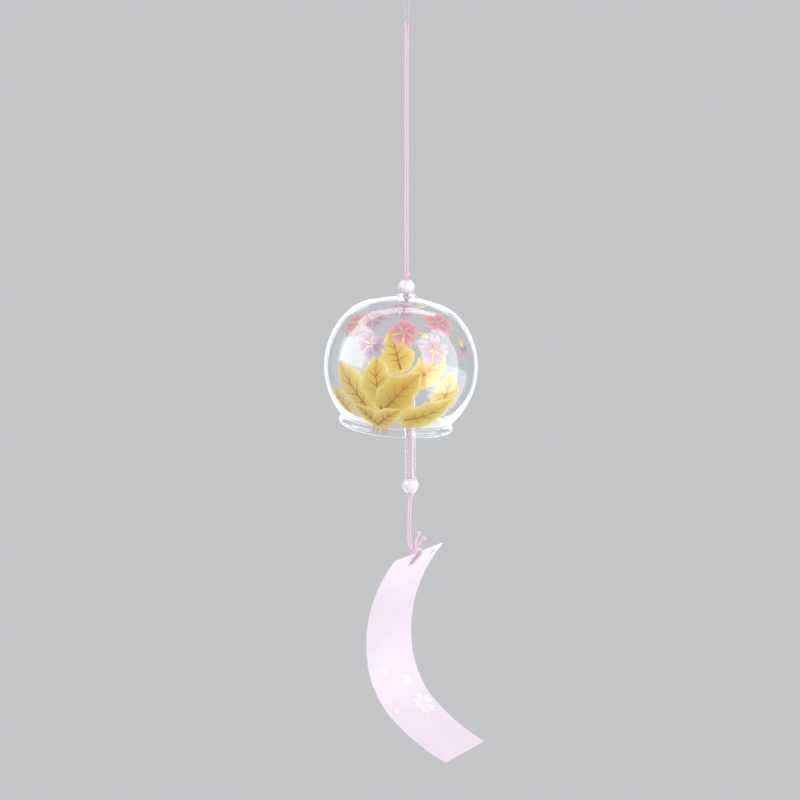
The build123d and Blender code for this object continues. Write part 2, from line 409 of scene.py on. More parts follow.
def leaf_material(name, middle, broad, pale, edge):
    """Golden leaf print, deeper along the middle and pale at its edges."""
    n = Nodes(name)
    uv = n.add("ShaderNodeSeparateXYZ", {0: n.coordinates("UV")})
    off_centre = n.math("ABSOLUTE", n.math("MULTIPLY_ADD", uv.outputs["Y"], 2.0, -1.0))
    place = n.coordinates("Object")
    cloud = n.noise(place, 110.0, 3.0, 0.5)
    reach = n.math("ADD", off_centre, n.math("MULTIPLY_ADD", cloud, 0.5, -0.25))
    along = n.math("MULTIPLY_ADD", uv.outputs["X"], 0.35, -0.12)
    fade = n.math("ADD", reach, along, clamp=True)
    gold = n.ramp(fade, [(0.0, middle), (0.4, broad), (0.8, pale), (1.0, edge)])
    speck = n.noise(place, PRINT_SPECK, 2.0, 0.6)
    speckled = n.colour_mix(n.math("MULTIPLY", speck, 0.12), gold, linear(250, 236, 190))
    return printed(n, speckled, speck)


def petal_material(name, inner, middle, edge):
    """Blossom print that grows paler towards the petals' tips."""
    n = Nodes(name)
    uv = n.add("ShaderNodeSeparateXYZ", {0: n.coordinates("UV")})
    place = n.coordinates("Object")
    cloud = n.noise(place, 140.0, 3.0, 0.5)
    fade = n.math("ADD", uv.outputs["X"], n.math("MULTIPLY_ADD", cloud, 0.4, -0.2), clamp=True)
    tone = n.ramp(fade, [(0.05, inner), (0.5, middle), (0.98, edge)])
    speck = n.noise(place, PRINT_SPECK, 2.0, 0.6)
    speckled = n.colour_mix(n.math("MULTIPLY", speck, 0.1), tone, linear(250, 225, 230))
    return printed(n, speckled, speck)


def paint_material(name, dark, light, coat=1.0):
    """Plain print paint for veins, stems, buds, blossom centres and the card's blossoms."""
    n = Nodes(name)
    uv = n.add("ShaderNodeSeparateXYZ", {0: n.coordinates("UV")})
    place = n.coordinates("Object")
    speck = n.noise(place, 2200.0, 2.0, 0.6)
    tone = n.colour_mix(uv.outputs["X"], dark, light)
    speckled = n.colour_mix(n.math("MULTIPLY", speck, 0.2), tone, light)
    return printed(n, speckled, speck, 0.32, coat)


def paper_material():
    """Coated card with a faint grain, pinkish white."""
    n = Nodes("pink_card")
    place = n.coordinates("Object")
    pulp = n.noise(place, 70.0, 5.0, 0.6)
    grain = n.noise(place, 2400.0, 4.0, 0.7)
    tone = n.ramp(pulp, [(0.25, linear(242, 227, 241)), (0.75, linear(246, 234, 246))])
    fibre = n.colour_mix(n.math("MULTIPLY", grain, 0.1), tone, linear(232, 208, 228))
    n.set(Base_Color=fibre, Roughness=n.spread(grain, 0.42, 0.6), Specular_IOR_Level=0.4)
    n.set(Subsurface_Weight=0.1, Subsurface_Scale=0.0005)
    n.bump(grain, 0.3, 0.00004)
    return n.material


PINK_CORD = cord_material()
BELL_GLASS = glass_material("bell_glass", 60.0, (0.62, 0.64, 0.67, 1.0))
TUBE_GLASS = glass_material("tube_glass", 160.0, (0.6, 0.62, 0.65, 1.0))
FROSTED = bead_material()
NYLON = nylon_material()
LEAF_DEEP = leaf_material("leaf_print_deep", linear(196, 153, 26), linear(212, 174, 50),
                          linear(227, 194, 84), linear(241, 218, 132))
LEAF_GOLD = leaf_material("leaf_print_gold", linear(212, 172, 54), linear(226, 193, 84),
                          linear(239, 211, 114), linear(248, 229, 154))
LEAF_PALE = leaf_material("leaf_print_pale", linear(228, 190, 82), linear(240, 210, 112),
                          linear(249, 226, 146), linear(253, 239, 182))
VEIN_BROWN = paint_material("vein_print", linear(184, 104, 34), linear(204, 140, 60))
STEM_BROWN = paint_material("stem_print", linear(214, 160, 112), linear(222, 178, 132))
SALMON = petal_material("salmon_print", linear(204, 120, 126), linear(217, 145, 148),
                        linear(236, 182, 184))
MAUVE = petal_material("mauve_print", linear(166, 116, 142), linear(185, 141, 166),
                       linear(214, 180, 202))
CENTRE_ORANGE = paint_material("centre_print", linear(232, 138, 52), linear(240, 166, 88))
BUD_YELLOW = paint_material("bud_print", linear(228, 190, 92), linear(246, 224, 160))
WHITE_PRINT = paint_material("white_print", linear(253, 243, 251), linear(255, 249, 254), 0.0)
PINK_CARD = paper_material()

# The long cord: from the inner knot up through the bead and the top knot, over the line and back

FOLD_TOP, EYE_START, TAPER_START = -16.15, -18.05, -23.05
EYE_SIDE = 0.6718
CORD_STEP, KNOT_STEP, END_STEP, LOOP_STEP = 0.3, 0.14, 0.16, 0.2

rising = [
    (-HALF_SPACING, 0.0, -160.3),
    (-HALF_SPACING, 0.0, -152.0),
    (-HALF_SPACING, 0.0, -139.0),
    (-HALF_SPACING, 0.0, -29.6),
    (-HALF_SPACING, 0.0, TAPER_START),
    (-EYE_SIDE, -EYE_SIDE, EYE_START),
    (-EYE_SIDE, -EYE_SIDE, FOLD_TOP),
]
falling = [(-x, -y, z) for x, y, z in reversed(rising)]


def declared_cord(name, points, body, nodes, phase=0.0):
    """A strand of the pink cord along a route, as a laid tube on its body, in place of the part's
    own nodes.
    """
    line, length = even_line(nurbs_line(points), CORD_STEP)
    strand = tube_mesh(name, [line], lambda s: CORD / 2, PINK_CORD, phases=[phase])
    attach(strand, body)
    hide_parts(*nodes)
    path = [tuple(p * MM) for p in line]
    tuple(path[0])


declared_cord("upper_cord_strands", rising + falling, "cord", ["upper_cord", "neck_cord"])

# The two strands that carry the tube and the lower bead

SIDES = ((0, "left", -HALF_SPACING), (1, "right", HALF_SPACING))
TUBE_ROUTE = (
    (-0.45, -1.3), (-0.75, -2.8), (0.0, -7.4), (0.0, -14.0), (0.0, -94.2), (0.0, -101.9),
)
for number, hand, side in SIDES:
    points = [clapper_point(x + side, 0.0, z) for x, z in TUBE_ROUTE]
    declared_cord(f"tube_strand_{hand}", points, "clapper", ["tube_cord"],
                  phase=0.8 + number)

# The two strands of the tail

TAIL_ROUTE = (
    (0.0, -0.6), (-0.25, -1.95), (-0.75, -7.2), (-0.85, -22.4), (-0.7, -26.6), (0.7, -29.3),
    (2.3, -30.5),
)
for number, hand, side in SIDES:
    points = [LOWER_KNOT + Vector((x + side, 0.0, z)) for x, z in TAIL_ROUTE]
    declared_cord(f"tail_strand_{hand}", points, "tail", ["tail_cord"],
                  phase=1.7 + number)

# The hanging line, a loop closed by its small knot

LINE = 0.5
LOOP_TURN = math.radians(-45.0)
LINE_KNOT = (1.819, -2.9)
WRAPS, WRAP_STEPS, WRAP_RADIUS, WRAP_RISE = 3, 24, 0.42, 1.56
LINE_KNOT_SIDES = 12


def line_point(across, z):
    """A point of the hanging line's loop, which lies in a plane turned from the front."""
    return Vector((across * math.cos(LOOP_TURN), across * math.sin(LOOP_TURN), z))


line_route = [
    LINE_KNOT, (2.0, 0.25), (-2.0, 0.25), (-1.819, -2.75), (-1.132, -14.1),
    (-0.95, -17.1), (0.95, -17.1), (1.132, -14.1), LINE_KNOT,
]
hanging_line = nurbs_curve("hanging_line_thread", [line_point(x, z) for x, z in line_route], LINE)
hanging_line.data.materials.append(NYLON)
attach(hanging_line, "line")
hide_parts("hanging_line")

wraps = []
for k in range(WRAPS * WRAP_STEPS + 1):
    turn = 2 * math.pi * k / WRAP_STEPS
    x, y = WRAP_RADIUS * math.cos(turn), WRAP_RADIUS * math.sin(turn)
    z = WRAP_RISE / 2 - WRAP_RISE * k / (WRAPS * WRAP_STEPS)
    wraps.append(line_point(*LINE_KNOT) + Vector((x, y, z)))
line_knot = tube_mesh("hanging_line_knot", [wraps], lambda s: LINE / 2, NYLON,
                      around=LINE_KNOT_SIDES, plies=0)
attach(line_knot, "line")
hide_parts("line_knot")

# Knots, each an overhand knot of the two strands pulled tight

OVERHAND = [
    (0.0, 0.0, 1.9), (0.0, 0.1, 1.25), (0.75, 0.75, 0.75), (0.75, 1.0, -0.45), (-0.5, 1.0, -0.85),
    (-1.05, 0.1, -0.45), (-0.75, -0.95, 0.1), (0.45, -1.05, 0.6), (1.05, -0.1, 0.55),
    (0.6, 0.55, -0.1), (-0.25, 0.3, -0.6), (0.0, -0.1, -1.3), (0.0, 0.0, -1.9),
]
OVERHAND_REACH, OVERHAND_RISE = 1.05, 1.35
KNOT_STRAND_RADIUS = 0.5
STRANDS_APART_SHARE = 0.92
WINDING_FROM, WINDING_FULL = 0.08, 0.24
KNOT_SIDES = 16


def tied_knot(name, centre, width, height, body, nodes, turn, lean=0.0):
    """The turns of a knot of two strands, inside the size that the part's node gives it."""
    thick = KNOT_STRAND_RADIUS
    reach = (width / 2 - thick) / OVERHAND_REACH
    rise = (height / 2 - thick) / OVERHAND_RISE
    spin = Matrix.Rotation(turn, 3, "Z")
    points = [spin @ Vector((x * reach, y * reach, z * rise)) for x, y, z in OVERHAND]
    line = even_line(nurbs_line(points), KNOT_STEP)[0]
    strands = [[], []]
    for n, point in enumerate(line):
        t = n / (len(line) - 1)
        wound = smooth_step(WINDING_FROM, WINDING_FULL, t)
        wound *= smooth_step(WINDING_FROM, WINDING_FULL, 1 - t)
        apart = (Vector((1, 0, 0)) * (1 - wound) + Vector((0, 0, 1)) * wound).normalized()
        tilt = Vector((lean * point.z, 0, 0))
        for strand, sign in zip(strands, (-1, 1)):
            strand.append(centre + point + tilt + apart * sign * thick * STRANDS_APART_SHARE)
    piece = tube_mesh(name, strands, lambda s: thick, PINK_CORD, around=KNOT_SIDES)
    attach(piece, body)
    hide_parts(*nodes)


tied_knot("top_knot_turns", TOP_KNOT, 4.0, 4.2, "cord", ["top_knot"], turn=0.5)
tied_knot("inner_knot_turns", PIVOT, 5.0, 4.4, "cord", ["inner_knot"], turn=2.4)
tied_knot("lower_knot_turns", LOWER_KNOT, 3.6, 3.4, "knot", ["lower_knot"], turn=-0.4)
tied_knot("paper_knot_turns", PAPER_KNOT, 3.5, 3.9, "tail", ["paper_knot"], turn=1.2, lean=-0.25)

# The cord's two free ends, each melted into a flared knob

END_SWELL, END_FLARE = 0.15, 0.6
FLARES_FROM, FLARED_BY = 3.2, 0.7
ROUNDS_FROM, ROUNDING, TIP_SHARE = 0.55, 0.56, 0.2
END_ROUTES = (
    ("long", ((-0.1, -0.5, 0.3), (-0.05, -0.75, 1.5), (0.25, -0.7, 4.9), (2.0, -0.6, 9.9))),
    ("short", ((0.6, 0.0, 0.3), (0.95, -0.1, 1.2), (2.6, -0.8, 4.2), (5.2, -1.3, 6.8))),
)
for name, route in END_ROUTES:
    line, length = even_line(nurbs_line([PAPER_KNOT + Vector(p) for p in route]), END_STEP)

    def flared(s, length=length):
        """The end's radius, which widens towards the tip and closes round it."""
        flare = smooth_step(length - FLARES_FROM, length - FLARED_BY, s)
        past = max(0.0, (s - length + ROUNDS_FROM) / ROUNDING)
        rounding = math.sqrt(max(0.0, 1 - past ** 2))
        return (CORD / 2 + END_SWELL + END_FLARE * flare) * max(TIP_SHARE, rounding)

    end = tube_mesh(f"cord_end_{name}", [line], flared, PINK_CORD, phases=[0.4])
    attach(end, "tail")
    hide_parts("cord_ends")

# The curled card

STRIP_WIDTH, STRIP_LENGTH, STRIP_THICK = 38.0, 141.5, 0.35
STRIP_HEADING = math.radians(50.9)
SKEW = math.radians(-5.6)
CURL_START = math.radians(-43.2)
CURL_RADII = (106.5, 73.2, 41.9, 103.4)
CORD_HOLE, SPARE_HOLE = (0.0, 10.8), (14.7, 6.5)
HOLE_RADIUS, HOLE_MARGIN, HOLE_SIDES = 1.5, 0.25, 28
CARD_COLUMNS, CARD_ROWS = 18, 116
CREASE = math.radians(40.0)
RULING = Vector((math.cos(STRIP_HEADING), math.sin(STRIP_HEADING), 0))
OUTWARD = Vector((math.sin(STRIP_HEADING), -math.cos(STRIP_HEADING), 0))
UP = Vector((0, 0, 1))


def curl(distance):
    """Sideways place, height and heading of the card's curl at that distance along it."""
    span = STRIP_LENGTH / len(CURL_RADII)
    sideways, height, heading, left = 0.0, 0.0, CURL_START, distance
    for number, radius in enumerate(CURL_RADII):
        last = number == len(CURL_RADII) - 1
        run = left if last else min(left, span)
        turned = heading + run / radius
        sideways -= radius * (math.cos(turned) - math.cos(heading))
        height -= radius * (math.sin(turned) - math.sin(heading))
        heading = turned
        left -= run
        if left <= 0:
            break
    return sideways, height, heading


def strip_point(across, drop, front=0.0):
    """A point of the card from the middle of its top edge, in millimetres."""
    along_curl = drop * math.cos(SKEW) + across * math.sin(SKEW)
    along_ruling = across * math.cos(SKEW) - drop * math.sin(SKEW)
    sideways, height, heading = curl(along_curl)
    forward = OUTWARD * math.cos(heading) + UP * math.sin(heading)
    return STRIP_TOP + RULING * along_ruling + OUTWARD * sideways + UP * height + forward * front


def shell_object(name, points, faces, uvs, surface, low, high, material):
    """A closed thin shell over a flat figure laid on a surface."""
    count = len(points)
    vertices = [surface(x, y, height) for height in (high, low) for x, y in points]
    used = {}
    for face in faces:
        for a, b in zip(face, face[1:] + face[:1]):
            used.setdefault(frozenset((a, b)), []).append((a, b))
    shell = [tuple(f) for f in faces] + [tuple(count + v for v in reversed(f)) for f in faces]
    for found in used.values():
        if len(found) == 1:
            a, b = found[0]
            shell.append((b, a, count + a, count + b))
    piece = mesh_object(name, vertices, shell, uvs + uvs, material)
    piece.data.set_sharp_from_angle(angle=CREASE)
    return piece


def card():
    """The card's flat cut with its two punched holes, laid on the curl."""
    places, edges = [], []
    for j in range(CARD_ROWS + 1):
        for i in range(CARD_COLUMNS + 1):
            across = (i / CARD_COLUMNS - 0.5) * STRIP_WIDTH
            places.append(Vector((across, j / CARD_ROWS * STRIP_LENGTH)))
    holes = (Vector(CORD_HOLE), Vector(SPARE_HOLE))
    clear = HOLE_RADIUS + HOLE_MARGIN
    kept = [p for p in places if all((p - hole).length > clear for hole in holes)]
    for hole in (CORD_HOLE, SPARE_HOLE):
        first = len(kept)
        for k in range(HOLE_SIDES):
            a = 2 * math.pi * k / HOLE_SIDES
            x, y = hole[0] + HOLE_RADIUS * math.cos(a), hole[1] + HOLE_RADIUS * math.sin(a)
            kept.append(Vector((x, y)))
            edges.append((first + k, first + (k + 1) % HOLE_SIDES))
    flat, _, faces, _, _, _ = delaunay_2d_cdt(kept, edges, [], 0, 1e-5)
    open_faces = []
    for face in faces:
        middle = sum((flat[v] for v in face), Vector((0, 0))) / len(face)
        if all((middle - hole).length > HOLE_RADIUS for hole in holes):
            open_faces.append(list(face))
    points = [(p.x, p.y) for p in flat]
    uvs = [(x / STRIP_WIDTH + 0.5, y / STRIP_LENGTH) for x, y in points]
    half = STRIP_THICK / 2
    piece = shell_object("paper_card", points, open_faces, uvs, strip_point, -half, half, PINK_CARD)
    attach(piece, "paper")
    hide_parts("paper_strip")


card()

# The cord's loop through the card: places across, down and in front of it

loop_route = [
    (-3.0, -1.9, -1.3), (-2.3, 0.4, -1.1), (-1.0, 5.0, -1.0), (0.0, 10.198, -0.95),
    (0.0, 10.198, 0.95), (0.75, 4.6, 1.0), (1.3, -0.1, 0.95), (-0.2, -1.9, -0.55),
    (-1.7, -2.2, -1.3),
]
loop_lines = []
for side in (-HALF_SPACING, HALF_SPACING):
    points = [strip_point(*place) + RULING * side for place in loop_route]
    loop_lines.append(even_line(nurbs_line(points), LOOP_STEP)[0])
paper_loop = tube_mesh("paper_loop_strands", loop_lines, lambda s: CORD / 2, PINK_CORD)
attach(paper_loop, "paper")
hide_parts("paper_loop")

# Glass bell: its outline, turned, with the small unevenness of blown glass

SIDE, WALL, SHOULDER_RADIUS = 40.0, 1.4, 28.0
SHOULDER_START, SHOULDER_END = math.radians(35.0), math.radians(68.0)
NECK = math.radians(-42.8)
FLARE_RADIUS, FLARE_END, LIP_RADIUS = 2.2, math.radians(225.0), 0.95
RING_SECTION, RING_REACH, RING_RISE = 1.8, 3.7, 0.4
PIVOT_BELOW_RING = 2.733
FLARE_STEPS, BELLY_STEPS, SHOULDER_STEPS, CAP_STEPS = 12, 46, 16, 22
RING_STEPS, LIP_STEPS, AROUND = 44, 24, 176
MELT_TURNS, MELT_REACH = 3, 3


def toward(angle):
    """The direction at that angle in the plane of radius and height."""
    return Vector((math.cos(angle), math.sin(angle)))


shoulder = toward(SHOULDER_START) * (SIDE - SHOULDER_RADIUS)
CAP_RADIUS = SHOULDER_RADIUS + shoulder.x / math.cos(SHOULDER_END)
cap = shoulder - toward(SHOULDER_END) * (CAP_RADIUS - SHOULDER_RADIUS)
flare = toward(NECK) * (SIDE + FLARE_RADIUS)
cap_rise = math.sqrt((CAP_RADIUS - WALL / 2) ** 2 - RING_REACH ** 2)
ring = Vector((RING_REACH, cap.y + cap_rise + RING_RISE))
EQUATOR = ring.y - PIVOT_BELOW_RING


def arc(centre, radius, start, end, count):
    """Points along a circle from one angle to another."""
    return [centre + toward(start + (end - start) * n / count) * radius for n in range(count + 1)]


def ring_meets(radius):
    """The angle on the ring's section at which a cap of that radius meets it."""
    away = ring - cap
    d = away.length
    swing = math.acos((radius ** 2 - d ** 2 - RING_SECTION ** 2) / (2 * d * RING_SECTION))
    return math.atan2(away.y, away.x) - swing


def bell_outline():
    """The closed outline of the glass, as radius and height from the middle of its widest place.

    It is softened where the wall meets the ring and the lip, as melted glass is.
    """
    outer_end, inner_end = ring_meets(CAP_RADIUS), ring_meets(CAP_RADIUS - WALL)
    sides = []
    for offset, ring_angle in ((0.0, outer_end), (-WALL, inner_end)):
        meet = ring + toward(ring_angle) * RING_SECTION - cap
        cap_end = math.atan2(meet.y, meet.x)
        wall = arc(flare, FLARE_RADIUS - offset, FLARE_END, NECK + math.pi, FLARE_STEPS)[:-1]
        wall += arc(Vector((0, 0)), SIDE + offset, NECK, SHOULDER_START, BELLY_STEPS)[:-1]
        wall += arc(shoulder, SHOULDER_RADIUS + offset, SHOULDER_START, SHOULDER_END,
                    SHOULDER_STEPS)[:-1]
        wall += arc(cap, CAP_RADIUS + offset, SHOULDER_END, cap_end, CAP_STEPS)
        sides.append(wall)
    outer, inner = sides
    rim = arc(ring, RING_SECTION, outer_end, inner_end + 2 * math.pi, RING_STEPS)[1:-1]
    tip = Vector((-math.sin(FLARE_END), math.cos(FLARE_END)))
    out = toward(FLARE_END)
    lip_centre = flare + out * (FLARE_RADIUS + WALL / 2)
    spread = math.acos(-math.sqrt(1 - (WALL / 2 / LIP_RADIUS) ** 2))
    lip = []
    for n in range(1, LIP_STEPS):
        a = spread - 2 * spread * n / LIP_STEPS
        lip.append(lip_centre + tip * math.cos(a) * LIP_RADIUS + out * math.sin(a) * LIP_RADIUS)
    outline = outer + rim + list(reversed(inner)) + lip
    joints = [0, len(outer) - 1, len(outer) + len(rim), len(outline) - len(lip) - 1]
    count = len(outline)
    for _ in range(MELT_TURNS):
        moved = [p.copy() for p in outline]
        for joint in joints:
            for k in range(-MELT_REACH, MELT_REACH + 1):
                n = (joint + k) % count
                moved[n] = (outline[n - 1] + outline[(n + 1) % count]) * 0.25 + outline[n] * 0.5
        outline = moved
    return outline


def wobble(azimuth, elevation, reach):
    """How far blown glass stands out from a true round there."""
    fade = smooth_step(6.0, 22.0, reach)
    return fade * (
        0.10 * math.sin(2 * azimuth + 0.6)
        + 0.07 * math.sin(3 * azimuth - 1.1 + 2 * math.sin(elevation))
        + 0.04 * math.sin(5 * azimuth + 3 * elevation)
    )


def bell_world(point):
    """From the bell's own frame, equator at zero, to the part's frame."""
    x, y, z = point.x, point.y, point.z - EQUATOR
    return PIVOT + Vector((
        x * math.cos(TILT) + z * math.sin(TILT), y, -x * math.sin(TILT) + z * math.cos(TILT),
    ))


def bell_glass():
    """The bell: its outline turned once round, with its swells and an uneven mouth."""
    outline = bell_outline()
    vertices, faces, uvs = [], [], []
    for n, point in enumerate(outline):
        elevation = math.atan2(point.y, point.x)
        for k in range(AROUND):
            azimuth = 2 * math.pi * k / AROUND
            swell = 1 + wobble(azimuth, elevation, point.x) / max(1.0, point.length)
            wave = 0.14 * math.sin(2 * azimuth + 0.4) + 0.07 * math.sin(3 * azimuth)
            wave *= smooth_step(-27.0, -31.5, point.y)
            x, z = point.x * swell, point.y * swell + wave
            vertices.append(bell_world(Vector((x * math.sin(azimuth), -x * math.cos(azimuth), z))))
            uvs.append((k / AROUND, n / len(outline)))
    count = len(outline)
    for n in range(count):
        for k in range(AROUND):
            m, j = (n + 1) % count, (k + 1) % AROUND
            faces.append((n * AROUND + k, n * AROUND + j, m * AROUND + j, m * AROUND + k))
    piece = mesh_object("glass_bell_blown", vertices, faces, uvs, BELL_GLASS)
    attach(piece, "bell")
    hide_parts("glass_bell")


bell_glass()

# Printed blossoms and leaves, thin paint on the outside of the glass

PRINT_LOW, PRINT_LAYER, PRINT_THICK = 0.03, 0.035, 0.02
DETAIL_LOW, DETAIL_HIGH = 0.024, 0.04
PETAL_STEP = 72.0
STROKE_COLUMNS = 2


def outer_reach(elevation):
    """How far the bell's outer skin is from the middle of its widest place."""
    d = toward(elevation)

    def far(centre, radius):
        b = centre.dot(d)
        return b + math.sqrt(max(0.0, radius ** 2 - centre.dot(centre) + b * b))

    if elevation < NECK:
        b = flare.dot(d)
        inside = FLARE_RADIUS ** 2 - flare.dot(flare) + b * b
        return b - math.sqrt(max(0.0, inside))
    if elevation <= SHOULDER_START:
        return SIDE
    reach = far(shoulder, SHOULDER_RADIUS)
    place = d * reach - shoulder
    if math.atan2(place.y, place.x) <= SHOULDER_END:
        return reach
    return far(cap, CAP_RADIUS)


def on_bell(azimuth, elevation, heading):
    """A map from a flat figure, in millimetres, to the bell round one place on it."""
    az, el, turn = (math.radians(a) for a in (azimuth, elevation, heading))
    normal = Vector((math.sin(az) * math.cos(el), -math.cos(az) * math.cos(el), math.sin(el)))
    east = Vector((math.cos(az), math.sin(az), 0))
    north = normal.cross(east)
    ahead = north * math.cos(turn) + east * math.sin(turn)
    across = east * math.cos(turn) - north * math.sin(turn)

    def surface(x, y, lift):
        far = math.hypot(x, y)
        way = (across * x + ahead * y) / far if far > 1e-6 else Vector((0, 0, 0))
        d = normal * math.cos(far / SIDE) + way * math.sin(far / SIDE)
        e = math.asin(max(-1.0, min(1.0, d.z)))
        a = math.atan2(d.x, -d.y)
        reach = outer_reach(e)
        swell = 1 + wobble(a, e, reach * math.cos(e)) / reach
        return bell_world(d * (reach * swell + lift))

    return surface


class Figure:
    """A flat figure made of grids, with a UV place for each point."""

    def __init__(self):
        self.points, self.faces, self.uvs = [], [], []

    def grid(self, columns, rows, place):
        first = len(self.points)
        for j in range(rows + 1):
            for i in range(columns + 1):
                u, v = j / rows, i / columns
                self.points.append(place(u, v * 2 - 1))
                self.uvs.append((u, v))
        for j in range(rows):
            for i in range(columns):
                a = first + j * (columns + 1) + i
                self.faces.append([a, a + 1, a + columns + 2, a + columns + 1])
        return self

    def stroke(self, line, wide, narrow):
        """A stroke of paint along a line, from one width to another."""
        def place(u, w):
            k = min(len(line) - 2, int(u * (len(line) - 1)))
            t = u * (len(line) - 1) - k
            a, b = Vector(line[k]), Vector(line[k + 1])
            before = Vector(line[max(0, k - 1)])
            after = Vector(line[min(len(line) - 1, k + 2)])
            way = ((b - before) * (1 - t) + (after - a) * t).normalized()
            point = a.lerp(b, t)
            half = mix(wide, narrow, u) / 2
            return (point.x + way.y * half * w, point.y - way.x * half * w)
        return self.grid(STROKE_COLUMNS, max(2, (len(line) - 1) * 2), place)


def paint(name, figure, surface, low, high, material, body="bell"):
    """A figure as a thin layer of paint, from low to high above a surface."""
    piece = shell_object(name, figure.points, figure.faces, figure.uvs, surface, low, high,
                         material)
    piece.visible_shadow = False
    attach(piece, body)


def paint_layer(name, figure, surface, layer, material):
    """A figure in one of the print's layers on the glass."""
    low = PRINT_LOW + PRINT_LAYER * layer
    paint(name, figure, surface, low, low + PRINT_THICK, material)


def paint_detail(name, figure, surface, layer, material):
    """A figure just above the layer that it belongs to."""
    low = PRINT_LOW + PRINT_LAYER * layer
    paint(name, figure, surface, low + DETAIL_LOW, low + DETAIL_HIGH, material)


MIDRIB, SIDE_VEIN, STAMEN = (1.15, 0.2), (0.62, 0.12), (0.5, 0.12)
VEINS = (
    (0.1, -1, 0.55, 0.14), (0.12, 1, 0.6, 0.12), (0.26, -1, 0.62, 0.2),
    (0.3, 1, 0.6, 0.2), (0.48, -1, 0.55, 0.2), (0.52, 1, 0.5, 0.2),
)


def leaf(number, azimuth, elevation, heading, length, width, bend, notch, waves, phase, stalk,
         layer, material):
    """A heart-shaped leaf with a midrib and side veins, growing from its stalk."""
    def at(along, across):
        side = 1 if across >= 0 else -1
        reach = math.sin(math.pi * along ** 0.64) ** mix(0.5, 0.7, along) if 0 < along < 1 else 0.0
        edge = 1 + waves * math.sin(2 * math.pi * (3.1 * along + phase + 0.21 * side))
        edge += 0.4 * waves * math.sin(2 * math.pi * (6.3 * along + 2.1 * phase - 0.3 * side))
        half = width / 2 * reach * edge
        back = notch * abs(across) ** 1.4 * (1 - along) ** 3
        lean = bend * length * math.sin(math.pi * along) + bend * length * 0.6 * along ** 2
        return (lean + across * half, length * (along - back))

    surface = on_bell(azimuth, elevation, heading)
    paint_layer(f"leaf_{number}", Figure().grid(16, 44, at), surface, layer, material)
    middle = [(0.0, -stalk), (0.0, -stalk / 2)] + [at(u / 10, 0.0) for u in range(10)]
    veins = Figure().stroke(middle, *MIDRIB)
    for start, side, reach, run in VEINS:
        shares = (0.0, 0.2, 0.4, 0.6, 0.8, 1.0)
        line = [at(start + run * t, side * reach * t ** 1.1) for t in shares]
        veins.stroke(line, *SIDE_VEIN)
    paint_detail(f"leaf_{number}_veins", veins, surface, layer, VEIN_BROWN)


def blossom(number, azimuth, elevation, turn, length, material, layer):
    """A blossom of five notched petals with a small centre."""
    surface = on_bell(azimuth, elevation, 0.0)
    figure, centre = Figure(), Figure()
    for k in range(5):
        angle = math.radians(turn + PETAL_STEP * k)
        c, s = math.cos(angle), math.sin(angle)
        size = length * (1 + 0.07 * math.sin(2.3 * k + number))

        def place(u, w, c=c, s=s, size=size, k=k):
            notch = 0.3 * max(0.0, 1 - abs(w) / 0.5) ** 1.1
            corner = 0.34 * max(0.0, (abs(w) - 0.55) / 0.45) ** 1.6
            along = 0.09 * size + 0.91 * size * u * (1 - notch * u ** 2 - corner * u)
            half = 0.37 * size * (0.09 + 0.91 * math.sin(math.pi / 2 * min(1.0, u / 0.86)) ** 1.5)
            half *= 1 + 0.04 * math.sin(5 * u + k)
            x, y = w * half, along
            return (x * c + y * s, -x * s + y * c)

        figure.grid(12, 10, place)
        ray = [(s * r, c * r) for r in (0.0, 0.1 * size, 0.2 * size, 0.32 * size)]
        centre.stroke(ray, *STAMEN)

    def eye(u, w):
        return (0.85 * u * math.sin(math.pi * w), 0.85 * u * math.cos(math.pi * w))

    centre.grid(10, 4, eye)
    paint_layer(f"blossom_{number}", figure, surface, layer, material)
    paint_detail(f"blossom_{number}_centre", centre, surface, layer, CENTRE_ORANGE)


# Number, azimuth, elevation, turn, petal length, material, layer
BLOSSOMS = (
    (1, -53.0, 37.5, 18.0, 8.3, SALMON, 1),
    (2, -36.0, 44.5, 50.0, 8.0, MAUVE, 2),
    (3, -7.4, 60.5, 6.0, 9.4, MAUVE, 1),
    (4, -1.0, 37.3, 0.0, 8.6, SALMON, 3),
    (5, 38.0, 46.5, 30.0, 9.0, SALMON, 1),
    (6, -28.0, 25.0, 34.0, 8.2, MAUVE, 2),
    (7, 25.0, 24.0, 12.0, 8.4, MAUVE, 3),
)
for row in BLOSSOMS:
    blossom(*row)

